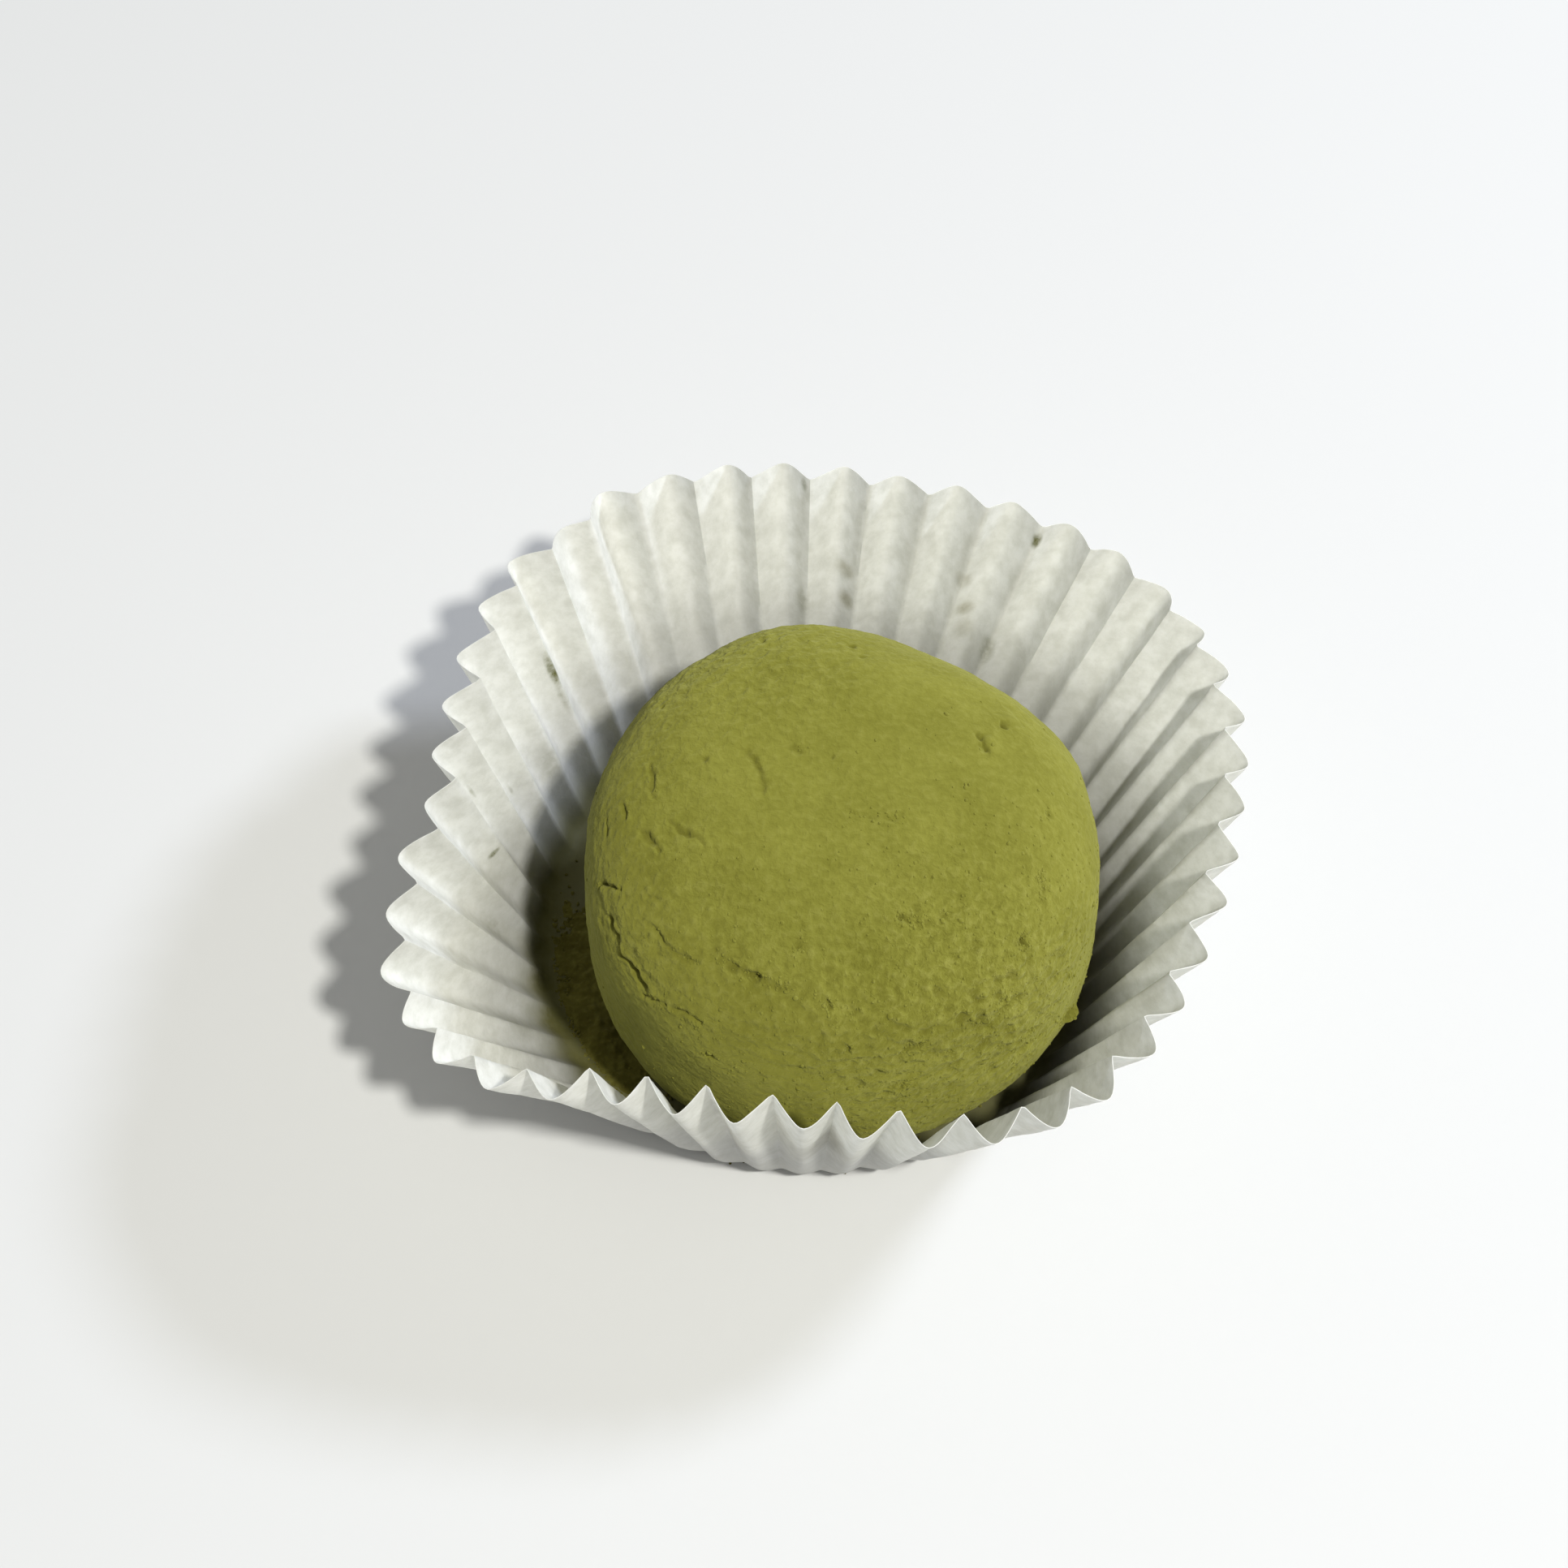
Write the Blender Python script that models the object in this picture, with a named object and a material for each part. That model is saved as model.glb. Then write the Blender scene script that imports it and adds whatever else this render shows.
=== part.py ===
"""A chewy cookie in its fluted paper case.

The cookie is a soft ball of marshmallow dough, settled under its own weight and rolled in green
tea powder. It lies a little off centre in a white cup of pleated baking paper, whose rim has been
squared by the box it was sold in. Metres, +Z up. The origin is the middle of the case's flat
base, on the surface that the case stands on, and the front of the cookie faces -Y.
"""
import math

import bmesh
import bpy
from mathutils import Vector, noise

MM = 0.001

# Driving dimensions of the paper case.
BASE_RADIUS = 25.0 * MM          # the flat bottom
WALL_LENGTH = 27.0 * MM          # paper from the bottom's edge to the rim, up the slope
FLUTES = 44
FIRST_FLUTE_DEG = 5.6            # where one outer ridge stands, counted from +X
WALL_FLARE_DEG = 24.6            # lean of the wall out from upright, averaged round the rim
PAPER = 0.3 * MM                 # thicker than the real paper, so that the solid is sound
BEND_RADIUS = 1.2 * MM           # of the fold between bottom and wall

# Driving dimensions of the cookie.
COOKIE_RADIUS = 22.85 * MM
COOKIE_HEIGHT = 34.0 * MM
COOKIE_CENTRE = (2.2 * MM, -3.6 * MM)
COOKIE_FOOT = 0.6 * MM           # underside of the cookie: a hair over the paper it lies on
FOOT_FLAT = 0.5 * MM             # how much of the round underside is pressed flat
CROWN_POWER = 3.0                # 2 is an ellipsoid: higher gives a flatter top and fuller shoulder
UNDER_POWER = 3.55

# The squared, uneven rim: how the wall's lean varies on its way round, as
# (waves round the rim, degrees, where it leans out most).
LEAN_WAVES = ((1, 3.5, 60.0), (2, 3.3, 20.0), (3, 2.2, -22.0), (4, 5.7, 33.0), (5, 0.9, -5.0))
# Flutes that were pushed in or out on their own: (azimuth, half width, degrees).
LEAN_DENTS = ((120.0, 4.0, 2.4), (128.0, 4.0, -3.5), (177.0, 5.0, -2.0), (202.0, 5.0, 1.7),
              (239.0, 6.0, -1.5), (259.0, 8.0, 1.2))
# How far the rim slides sideways, as (waves, shift, where it slides most, anticlockwise).
SLIDE_MEAN = 0.2 * MM
SLIDE_WAVES = ((1, 0.8 * MM, -79.0), (2, 1.5 * MM, -22.0), (3, 0.5 * MM, 60.0), (4, 0.4 * MM, 1.0))
# How far the inner ridges slide sideways past the outer ones, and the bottom is out of round.
TWIST_WAVES = ((4, 1.0 * MM, 195.0),)
FOLD_WAVES = ((1, 0.35 * MM, 90.0), (2, 0.20 * MM, 0.0))
FLUTE_SHARPNESS = 0.9            # 0 is a sine, 1 a zigzag
FLUTE_POINTS = 6                 # mesh points along one flute
WALL_LEVELS = (0.16, 0.48, 1.0)  # heights of the mesh rings, as shares of the wall's length

# The cookie's outline from above: (lobes, share of the radius, where the first lobe points).
OUTLINE_LOBES = ((2, 0.005, 35.0), (3, 0.015, -17.0), (4, 0.005, -21.0))
# Soft hollows and swellings: (azimuth, degrees down from the top, degrees wide, depth).
HOLLOWS = ((63.0, 52.0, 24.0, 1.5 * MM), (22.0, 72.0, 12.0, -0.5 * MM),
           (80.0, 46.0, 14.0, 0.35 * MM))
LUMP_SPACING = 9.0 * MM
LUMP_HEIGHT = 0.22 * MM
MESH_CUTS = 17                   # cuts across each side of the cube that the ball starts from

# Cracks in the dusted skin. A place on the cookie is (azimuth, degrees down from the top).
# Each crack is (places, half width, depth, drop), where drop is how far the skin below it has sunk.
CRACKS = (
    (((204.5, 61.2), (209.0, 61.6), (213.0, 63.2)), 0.35 * MM, 0.7 * MM, 0.20 * MM),
    (((213.0, 63.2), (218.5, 64.0), (222.0, 64.8), (225.0, 64.0)), 0.30 * MM, 0.6 * MM, 0.20 * MM),
    (((222.5, 66.2), (225.5, 65.6), (229.0, 63.9)), 0.30 * MM, 0.6 * MM, 0.15 * MM),
    (((194.0, 60.5), (196.0, 58.5), (199.0, 56.8), (202.5, 54.0)), 0.30 * MM, 0.7 * MM, 0.0),
    (((181.5, 52.0), (186.0, 53.2), (190.0, 55.2)), 0.30 * MM, 0.4 * MM, 0.0),
    (((193.0, 42.5), (196.0, 41.5), (199.5, 39.6)), 0.45 * MM, 0.35 * MM, 0.0),
    (((217.0, 52.0), (222.0, 50.8), (227.0, 50.4), (231.0, 48.4)), 0.30 * MM, 0.35 * MM, 0.0),
    (((242.0, 45.6), (247.0, 46.0), (252.0, 46.0)), 0.35 * MM, 0.4 * MM, 0.0),
    (((20.5, 29.0), (19.0, 31.0), (16.0, 33.0)), 0.30 * MM, 0.5 * MM, 0.0),
    (((26.5, 38.5), (24.0, 39.5)), 0.35 * MM, 0.5 * MM, 0.0),
    (((319.0, 50.0), (319.5, 52.0)), 0.30 * MM, 0.4 * MM, 0.0),
)
DROP_REACH = 3.0 * MM            # how far below a crack the sunk skin takes to rise again
# Folds and clumps of powder that stand proud: (places, half width, height).
RIDGES = (
    (((252.5, 64.0), (256.0, 67.0), (260.0, 67.6), (265.0, 66.4)), 0.45 * MM, 0.30 * MM),
    (((17.5, 31.5), (15.0, 34.5)), 0.80 * MM, 0.30 * MM),
    (((24.0, 37.0), (21.5, 38.0)), 0.80 * MM, 0.25 * MM),
    (((331.0, 79.0), (334.0, 81.5)), 0.90 * MM, 0.90 * MM),
)
REFINE_REACH = (2.2 * MM, 1.0 * MM)   # the mesh is halved once, then again, this near to them


def clear_scene():
    for obj in list(bpy.data.objects):
        bpy.data.objects.remove(obj, do_unlink=True)


def add_material(name, colour, roughness):
    material = bpy.data.materials.new(name)
    material.use_nodes = True
    shader = material.node_tree.nodes["Principled BSDF"]
    shader.inputs["Base Color"].default_value = (*colour, 1.0)
    shader.inputs["Roughness"].default_value = roughness
    shader.inputs["Metallic"].default_value = 0.0
    return material


def add_object(name, shape, material):
    """Turn a bmesh into a smooth-shaded object with one material."""
    mesh = bpy.data.meshes.new(name)
    shape.to_mesh(mesh)
    shape.free()
    mesh.materials.append(material)
    mesh.shade_smooth()
    obj = bpy.data.objects.new(name, mesh)
    bpy.context.scene.collection.objects.link(obj)
    return obj


def wave_sum(waves, azimuth):
    """Sum of cosines round a circle, each (waves, size, degrees of its peak)."""
    return sum(size * math.cos(count * (azimuth - math.radians(peak)))
               for count, size, peak in waves)


# ---------------------------------------------------------------- the paper case

def wall_lean(azimuth):
    """Lean of the wall out from upright at this azimuth, in radians."""
    lean = WALL_FLARE_DEG + wave_sum(LEAN_WAVES, azimuth)
    for place, half_width, degrees in LEAN_DENTS:
        away = (math.degrees(azimuth) - place + 180.0) % 360.0 - 180.0
        lean += degrees * math.exp(-(away / half_width) ** 2)
    return math.radians(lean)


def flute_depth(slope, lean):
    """Half the depth of a flute. The paper can't stretch, so a disc's worth of its width is
    folded into the narrower cone, as zigzags."""
    flat_width = 2 * math.pi * (BASE_RADIUS + slope) / FLUTES
    cone_width = 2 * math.pi * (BASE_RADIUS + slope * math.sin(lean)) / FLUTES
    return 0.25 * math.sqrt(max(flat_width ** 2 - cone_width ** 2, 0.0))


def wall_point(column, slope):
    """Middle of the paper, at a mesh column and a distance up the slope from the fold."""
    turn = column / FLUTE_POINTS
    azimuth = math.radians(FIRST_FLUTE_DEG) + 2 * math.pi * turn / FLUTES
    lean = wall_lean(azimuth)
    wave = (math.asin(FLUTE_SHARPNESS * math.cos(2 * math.pi * turn))
            / math.asin(FLUTE_SHARPNESS))
    depth = flute_depth(slope, lean) * wave
    risen = slope / WALL_LENGTH
    out = (BASE_RADIUS + wave_sum(FOLD_WAVES, azimuth) * (1.0 - risen)
           + slope * math.sin(lean) + depth * math.cos(lean))
    height = PAPER / 2 + slope * math.cos(lean) - depth * math.sin(lean)
    twist = wave_sum(TWIST_WAVES, azimuth) * (1.0 - wave) / 2
    slide = (SLIDE_MEAN + wave_sum(SLIDE_WAVES, azimuth) + twist) * risen
    outward = Vector((math.cos(azimuth), math.sin(azimuth), 0.0))
    sideways = Vector((-math.sin(azimuth), math.cos(azimuth), 0.0))
    return outward * out + sideways * slide + Vector((0.0, 0.0, height))


def make_paper_case():
    """A disc of paper, pleated up into a cup: one sheet, then given its thickness."""
    columns = FLUTES * FLUTE_POINTS
    shape = bmesh.new()
    rings = []
    for radius, height in ((BASE_RADIUS - BEND_RADIUS, PAPER / 2),
                           (BASE_RADIUS, PAPER / 2 + BEND_RADIUS / 4)):
        ring = []
        for column in range(columns):
            azimuth = math.radians(FIRST_FLUTE_DEG) + 2 * math.pi * column / columns
            out = radius + wave_sum(FOLD_WAVES, azimuth)
            ring.append(shape.verts.new((out * math.cos(azimuth), out * math.sin(azimuth), height)))
        rings.append(ring)
    for level in WALL_LEVELS:
        slope = level * WALL_LENGTH
        rings.append([shape.verts.new(wall_point(column, slope)) for column in range(columns)])
    shape.faces.new(rings[0])
    for lower, upper in zip(rings, rings[1:]):
        for column in range(columns):
            after = (column + 1) % columns
            shape.faces.new((lower[column], lower[after], upper[after], upper[column]))
    bmesh.ops.recalc_face_normals(shape, faces=shape.faces)
    paper = add_material("white greaseproof paper", (0.82, 0.82, 0.80), 0.6)
    case = add_object("paper_case", shape, paper)
    thicken = case.modifiers.new("paper", "SOLIDIFY")
    thicken.thickness = PAPER
    thicken.offset = 0.0
    thicken.use_even_offset = True
    return case


# ---------------------------------------------------------------- the cookie

def direction(azimuth_deg, tilt_deg):
    azimuth, tilt = math.radians(azimuth_deg), math.radians(tilt_deg)
    return Vector((math.sin(tilt) * math.cos(azimuth), math.sin(tilt) * math.sin(azimuth),
                   math.cos(tilt)))


def ball_point(way):
    """The smooth skin of the settled ball, in a unit direction from its middle."""
    across = math.hypot(way.x, way.y)
    power = CROWN_POWER if way.z > 0 else UNDER_POWER
    reach = (across ** power + abs(way.z) ** power) ** (-1.0 / power)
    out = COOKIE_RADIUS * reach * (1.0 + wave_sum(OUTLINE_LOBES, math.atan2(way.y, way.x)))
    height = COOKIE_FOOT - FOOT_FLAT + (COOKIE_HEIGHT + FOOT_FLAT) / 2 * (1.0 + way.z * reach)
    point = Vector((COOKIE_CENTRE[0] + out * way.x, COOKIE_CENTRE[1] + out * way.y, height))
    for azimuth, tilt, width, depth in HOLLOWS:
        away = math.degrees(way.angle(direction(azimuth, tilt)))
        point -= way * depth * math.exp(-(away / width) ** 2)
    point.z = max(point.z, COOKIE_FOOT)
    return point


def nearest_on_path(point, path):
    """Distance from a point to a bent line, and the nearest place on it."""
    best = None
    for start, end in zip(path, path[1:]):
        along = end - start
        share = max(0.0, min(1.0, (point - start).dot(along) / along.length_squared))
        place = start + along * share
        gap = (point - place).length
        if best is None or gap < best[0]:
            best = (gap, place)
    return best


def relief(point, cracks, ridges):
    """How far the skin stands off the smooth ball here."""
    rise = LUMP_HEIGHT * noise.noise(point / LUMP_SPACING)
    for path, half_width, depth, drop in cracks:
        gap, place = nearest_on_path(point, path)
        rise -= depth * math.exp(-(gap / half_width) ** 2)
        if drop and point.z < place.z:
            rise -= drop * math.exp(-(gap / DROP_REACH) ** 2)
    for path, half_width, height in ridges:
        gap, _ = nearest_on_path(point, path)
        rise += height * math.exp(-(gap / half_width) ** 2)
    return rise


def make_cookie():
    """A cube blown up to a ball, with a finer mesh along the cracks, set to its settled form."""
    cracks = [([ball_point(direction(*place)) for place in places], half_width, depth, drop)
              for places, half_width, depth, drop in CRACKS]
    ridges = [([ball_point(direction(*place)) for place in places], half_width, height)
              for places, half_width, height in RIDGES]
    lines = [crack[0] for crack in cracks] + [ridge[0] for ridge in ridges]

    shape = bmesh.new()
    bmesh.ops.create_cube(shape, size=2.0)
    bmesh.ops.subdivide_edges(shape, edges=shape.edges[:], cuts=MESH_CUTS, use_grid_fill=True)
    for vert in shape.verts:
        vert.co.normalize()
    for reach in REFINE_REACH:
        near = [edge for edge in shape.edges
                if min(nearest_on_path(ball_point(((edge.verts[0].co + edge.verts[1].co) / 2)
                                                  .normalized()), line)[0]
                       for line in lines) < reach]
        bmesh.ops.subdivide_edges(shape, edges=near, cuts=1, use_grid_fill=True)
        for vert in shape.verts:
            vert.co.normalize()
    bmesh.ops.triangulate(shape, faces=shape.faces[:])
    for vert in shape.verts:
        vert.co = ball_point(vert.co)
    bmesh.ops.recalc_face_normals(shape, faces=shape.faces)
    shape.normal_update()
    moved = [(vert, vert.normal * relief(vert.co, cracks, ridges)) for vert in shape.verts
             if vert.co.z > COOKIE_FOOT]
    for vert, step in moved:
        vert.co += step
        vert.co.z = max(vert.co.z, COOKIE_FOOT)
    dust = add_material("green tea powder on dough", (0.24, 0.23, 0.045), 0.95)
    return add_object("cookie", shape, dust)


clear_scene()
make_paper_case()
make_cookie()
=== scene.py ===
import math

import bmesh
import bpy
import numpy as np
from mathutils import Matrix, Vector, noise


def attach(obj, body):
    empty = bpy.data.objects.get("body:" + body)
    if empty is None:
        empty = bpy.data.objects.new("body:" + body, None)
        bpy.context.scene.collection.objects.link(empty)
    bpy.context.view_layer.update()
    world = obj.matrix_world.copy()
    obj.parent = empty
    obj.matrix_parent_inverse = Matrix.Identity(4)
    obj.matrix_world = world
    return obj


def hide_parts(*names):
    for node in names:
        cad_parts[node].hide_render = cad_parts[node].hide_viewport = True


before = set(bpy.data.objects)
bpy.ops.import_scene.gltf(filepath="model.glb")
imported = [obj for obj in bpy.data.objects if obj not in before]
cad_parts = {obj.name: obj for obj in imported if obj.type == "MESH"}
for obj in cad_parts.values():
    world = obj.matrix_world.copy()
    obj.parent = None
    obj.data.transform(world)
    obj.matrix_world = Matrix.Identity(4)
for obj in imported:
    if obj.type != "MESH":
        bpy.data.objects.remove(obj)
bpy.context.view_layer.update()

# ---------------------------------------------------------------- the paper case
# One disc of white greaseproof paper, pressed in a fluted die into a cup of 44 pleats, so that no
# paper is cut or glued. The die leaves the outer ridges round and the inner creases sharper. The
# square box it was sold in has pushed the rim into four soft corners.

MM = 0.001
BASE_RADIUS = 25.0 * MM
WALL_LENGTH = 27.0 * MM          # paper from the bottom's edge to the rim
FLUTES = 44
FIRST_FLUTE = math.radians(5.6)  # where one outer ridge stands, counted from +X
WALL_FLARE = 24.6                # degrees out from upright, on average
SHELL = 0.3 * MM                 # the solid that this sheet stands for
SHEET = 0.06 * MM                # real greaseproof paper
FOLD = 1.6 * MM                  # half the paper in the rounded fold at the bottom
SOFT_START = 0.45 * MM           # over which the flutes begin
HELD = 3.5 * MM                  # up the wall, where the bottom still holds the outer ridges in
RUN_OUT = 2.6 * MM               # in from the fold, where the flutes end on the bottom
CREASE_START = 0.88              # share of the way from ridge to crease where it turns sharp
CREASE_RISE = 0.08               # how far the crease stands past the flat sides
TRIM = 0.15 * MM                 # how far the cut rim wanders
CRINKLE = 0.13 * MM              # depth of the creases that handling has left
COCKLE = 0.12 * MM               # height of the waves in the bottom
COLUMNS = 16                     # mesh points along one flute
FLOOR_RINGS = (24.0, 19.0, 13.0, 9.0, 6.0, 4.5, 3.4, 2.6)     # mm in from the fold
FOLD_RINGS = [-2.0 + 0.5 * step for step in range(9)]         # mm up, through the fold
WALL_START = 2.6 * MM
WALL_RINGS = 40

# How the rim departs from round. A wave is (count round the rim, size, where it is at its most),
# and a dent is (azimuth, half width, degrees of lean).
LEAN_WAVES = ((1, 3.5, 60.0), (2, 3.3, 20.0), (3, 2.2, -22.0), (4, 5.7, 33.0), (5, 0.9, -5.0))
LEAN_DENTS = ((120.0, 4.0, 2.4), (128.0, 4.0, -3.5), (177.0, 5.0, -2.0), (202.0, 5.0, 1.7),
              (239.0, 6.0, -1.5), (259.0, 8.0, 1.2))
SLIDE_MEAN = 0.2 * MM
SLIDE_WAVES = ((1, 0.8 * MM, -79.0), (2, 1.5 * MM, -22.0), (3, 0.5 * MM, 60.0), (4, 0.4 * MM, 1.0))
TWIST_WAVES = ((4, 1.0 * MM, 195.0),)
FOLD_WAVES = ((1, 0.35 * MM, 90.0), (2, 0.20 * MM, 0.0))


def wave_sum(waves, azimuth):
    """The waves' sum at each azimuth, in the unit of their sizes."""
    return sum(size * np.cos(count * (azimuth - math.radians(peak)))
               for count, size, peak in waves)


def field(points, spacing, seed=0.0):
    """Smooth noise, about -1 to 1, at each point, with lumps about this far apart."""
    shift = Vector((seed * 17.3, seed * 9.1, seed * 5.7))
    return np.array([noise.noise(Vector(p) / spacing + shift) for p in points])


class Flutes:
    """Small differences from flute to flute, the same each run."""
    rng = np.random.default_rng(11)
    depth = 1.0 + 0.06 * rng.standard_normal(FLUTES)      # share of the depth the paper allows
    phase = 0.03 * rng.standard_normal(FLUTES)            # sideways, in flute widths at the rim
    bend = 0.34 + 0.05 * rng.standard_normal(FLUTES)      # roundness of the outer ridge

    @staticmethod
    def between(values, turn):
        """Blend from one flute's value to the next."""
        low = np.floor(turn).astype(int)
        share = turn - low
        share = share * share * (3 - 2 * share)
        return values[low % FLUTES] * (1 - share) + values[(low + 1) % FLUTES] * share


def sheet_point(turn, slope):
    """Middle of the paper for arrays of flute counts and distances up from the fold."""
    azimuth = FIRST_FLUTE + 2 * math.pi * turn / FLUTES
    lean = WALL_FLARE + wave_sum(LEAN_WAVES, azimuth)
    for place, half_width, degrees in LEAN_DENTS:
        away = (np.degrees(azimuth) - place + 180.0) % 360.0 - 180.0
        lean = lean + degrees * np.exp(-(away / half_width) ** 2)
    lean = np.radians(lean)
    risen = np.clip(slope / WALL_LENGTH, 0.0, 1.0)

    # Flat sides that meet in a round outer ridge and a sharp inner crease, a little out of step.
    place = turn + Flutes.between(Flutes.phase, turn) * risen
    across = np.abs((place + 0.5) % 1.0 - 0.5) * 2.0
    ridge = Flutes.between(Flutes.bend, turn)
    wave = 1.0 - 2.0 * (np.hypot(across, ridge) - ridge) / (np.hypot(1.0, ridge) - ridge)
    creased = np.clip((across - CREASE_START) / (1.0 - CREASE_START), 0.0, 1.0)
    wave = wave + CREASE_RISE * creased ** 2
    up = (slope + np.sqrt(slope ** 2 + SOFT_START ** 2)) / 2
    flat_width = 2 * math.pi * (BASE_RADIUS + up) / FLUTES
    cone_width = 2 * math.pi * (BASE_RADIUS + up * np.sin(lean)) / FLUTES
    depth = 0.25 * np.sqrt(np.maximum(flat_width ** 2 - cone_width ** 2, 0.0))
    depth = depth * Flutes.between(Flutes.depth, turn)
    held = np.clip(1.0 - slope / HELD, 0.0, 1.0)     # near the fold only the creases rise
    fade = np.clip(1.0 + slope / RUN_OUT, 0.0, 1.0)
    push = depth * (wave - held) * fade

    # The fold is a soft curve from the flat bottom into the wall.
    bend = np.clip((slope + FOLD) / (2 * FOLD), 0.0, 1.0)
    straight = np.maximum(slope, FOLD)
    out = np.where(slope < FOLD, -FOLD * (1 - bend) ** 2 + FOLD * np.sin(lean) * bend ** 2,
                   straight * np.sin(lean))
    out = out + np.minimum(slope + FOLD, 0.0)
    rise = np.where(slope < FOLD, FOLD * np.cos(lean) * bend ** 2, straight * np.cos(lean))
    tilt = lean + (math.pi / 2 - lean) * (1 - bend)
    out = BASE_RADIUS + wave_sum(FOLD_WAVES, azimuth) * (1 - risen) + out + push * np.cos(tilt)
    rise = SHELL / 2 + rise - push * np.sin(tilt)

    twist = wave_sum(TWIST_WAVES, azimuth) * (1 - wave) / 2
    slide = (SLIDE_MEAN + wave_sum(SLIDE_WAVES, azimuth) + twist) * risen
    return np.stack([out * np.cos(azimuth) - slide * np.sin(azimuth),
                     out * np.sin(azimuth) + slide * np.cos(azimuth), rise], -1)


def add_piece(name, points, faces, *materials):
    """A smooth-shaded mesh object in the scene."""
    mesh = bpy.data.meshes.new(name)
    mesh.from_pydata(points, [], faces)
    mesh.validate()
    mesh.shade_smooth()
    for material in materials:
        mesh.materials.append(material)
    piece = bpy.data.objects.new(name, mesh)
    bpy.context.scene.collection.objects.link(piece)
    return piece


def paper_sheet(inside, outside):
    """The whole case: both faces of the sheet, joined by its cut edge at the rim."""
    around = FLUTES * COLUMNS
    slopes = [-ring * MM for ring in FLOOR_RINGS]
    slopes += [ring * MM for ring in FOLD_RINGS]
    slopes += list(np.linspace(WALL_START, WALL_LENGTH, WALL_RINGS))
    rings = len(slopes)
    turn, slope = np.meshgrid(np.arange(around) / COLUMNS, np.array(slopes))
    rise = (slope / WALL_LENGTH).clip(0, 1)
    # The paper is cut in a stack, so its edge wanders by a tenth of a millimetre.
    circle = 2 * math.pi * turn[0] / FLUTES
    trim = field(np.stack([np.cos(circle), np.sin(circle), 0 * circle], -1), 0.3)
    slope = slope - TRIM * np.clip(trim, 0, None) * rise ** 4
    middle = sheet_point(turn, slope)
    outward = middle * (1, 1, 0)
    outward /= np.linalg.norm(outward, axis=-1, keepdims=True)
    # Handling has left shallow creases in the wall, and the bottom isn't quite flat.
    flat = middle.reshape(-1, 3)
    crinkle = field(flat * (1, 1, 0.5), 2.8 * MM, 1.0) + 0.3 * field(flat * (1, 1, 2), 1.4 * MM, 2.0)
    middle += outward * (crinkle.reshape(turn.shape) * CRINKLE * rise ** 0.5)[..., None]
    cockle = np.clip(field(flat * (1, 1, 0), 7.0 * MM, 3.0), 0, None).reshape(turn.shape)
    middle[..., 2] += COCKLE * cockle * np.clip((-slope - 2.5 * MM) / (8 * MM), 0, 1)

    round_it = np.roll(middle, -1, 1) - np.roll(middle, 1, 1)
    up_it = np.gradient(middle, axis=0)
    inward = np.cross(up_it, round_it)
    inward /= np.linalg.norm(inward, axis=-1, keepdims=True)
    if inward[0, 0, 2] < 0:
        inward = -inward
    centre = np.array([[0.0, 0.0, SHELL / 2]])
    half = np.array([[0.0, 0.0, SHEET / 2]])
    sides = [np.vstack([(middle + sign * inward * SHEET / 2).reshape(-1, 3), centre + sign * half])
             for sign in (1, -1)]

    count = rings * around + 1
    inner = [(r * around + c, r * around + (c + 1) % around,
              (r + 1) * around + (c + 1) % around, (r + 1) * around + c)
             for r in range(rings - 1) for c in range(around)]
    inner += [(count - 1, (c + 1) % around, c) for c in range(around)]
    inner = [face[::-1] for face in inner]
    outer = [tuple(count + place for place in face[::-1]) for face in inner]
    last = (rings - 1) * around
    edge = [(last + c, last + (c + 1) % around, count + last + (c + 1) % around, count + last + c)
            for c in range(around)]
    piece = add_piece("fluted_paper", np.vstack(sides).tolist(), inner + outer + edge,
                      inside, outside)
    slots = np.ones(len(piece.data.polygons), dtype=np.int32)
    slots[:len(inner)] = 0
    piece.data.polygons.foreach_set("material_index", slots)
    piece.data.set_sharp_from_angle(angle=math.radians(70.0))     # the cut edge at the rim
    return piece


def linear(colour):
    """An sRGB hex colour as linear RGBA."""
    parts = [int(colour[i:i + 2], 16) / 255 for i in (1, 3, 5)]
    return (*[c / 12.92 if c <= 0.04045 else ((c + 0.055) / 1.055) ** 2.4 for c in parts], 1.0)


def add_node(material, kind, inputs, **settings):
    """Add a shader node. An input is a number, a tuple, a hex colour or another node's output."""
    node = material.node_tree.nodes.new(kind)
    for key, value in settings.items():
        setattr(node, key, value)
    for key, value in inputs.items():
        if isinstance(value, bpy.types.NodeSocket):
            material.node_tree.links.new(value, node.inputs[key])
        else:
            node.inputs[key].default_value = linear(value) if isinstance(value, str) else value
    return node.outputs


def new_material(name):
    """A material with an empty node tree."""
    material = bpy.data.materials.new(name)
    material.use_nodes = True
    material.node_tree.nodes.clear()
    return material


# Marks on the paper: (azimuth, mm up the wall, half width and half length in mm, strength). Powder
# has rubbed off in the flutes, some stains are faintly brown, and at the left the fold is darkened
# by soaked-in fat and by painted shade under the cookie.
POWDER_MARKS = (
    (140.9, 16.4, 0.50, 2.4, 1.0), (141.0, 13.2, 0.50, 2.2, 0.35), (175.0, 14.0, 0.75, 0.40, 0.9),
    (58.5, 25.2, 0.7, 0.9, 0.95), (92.5, 26.0, 0.6, 0.7, 0.5), (59.0, 11.8, 0.9, 2.2, 0.45),
    (92.5, 13.0, 1.0, 1.8, 0.35), (323.5, 22.5, 0.4, 0.6, 0.7), (168.0, 19.0, 0.2, 1.2, 0.35),
    (160.0, 12.0, 0.2, 0.9, 0.3), (150.0, 9.0, 1.4, 2.6, 0.25), (186.0, 9.0, 1.6, 3.0, 0.25),
    (205.0, 8.0, 1.8, 3.2, 0.25),
)
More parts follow.
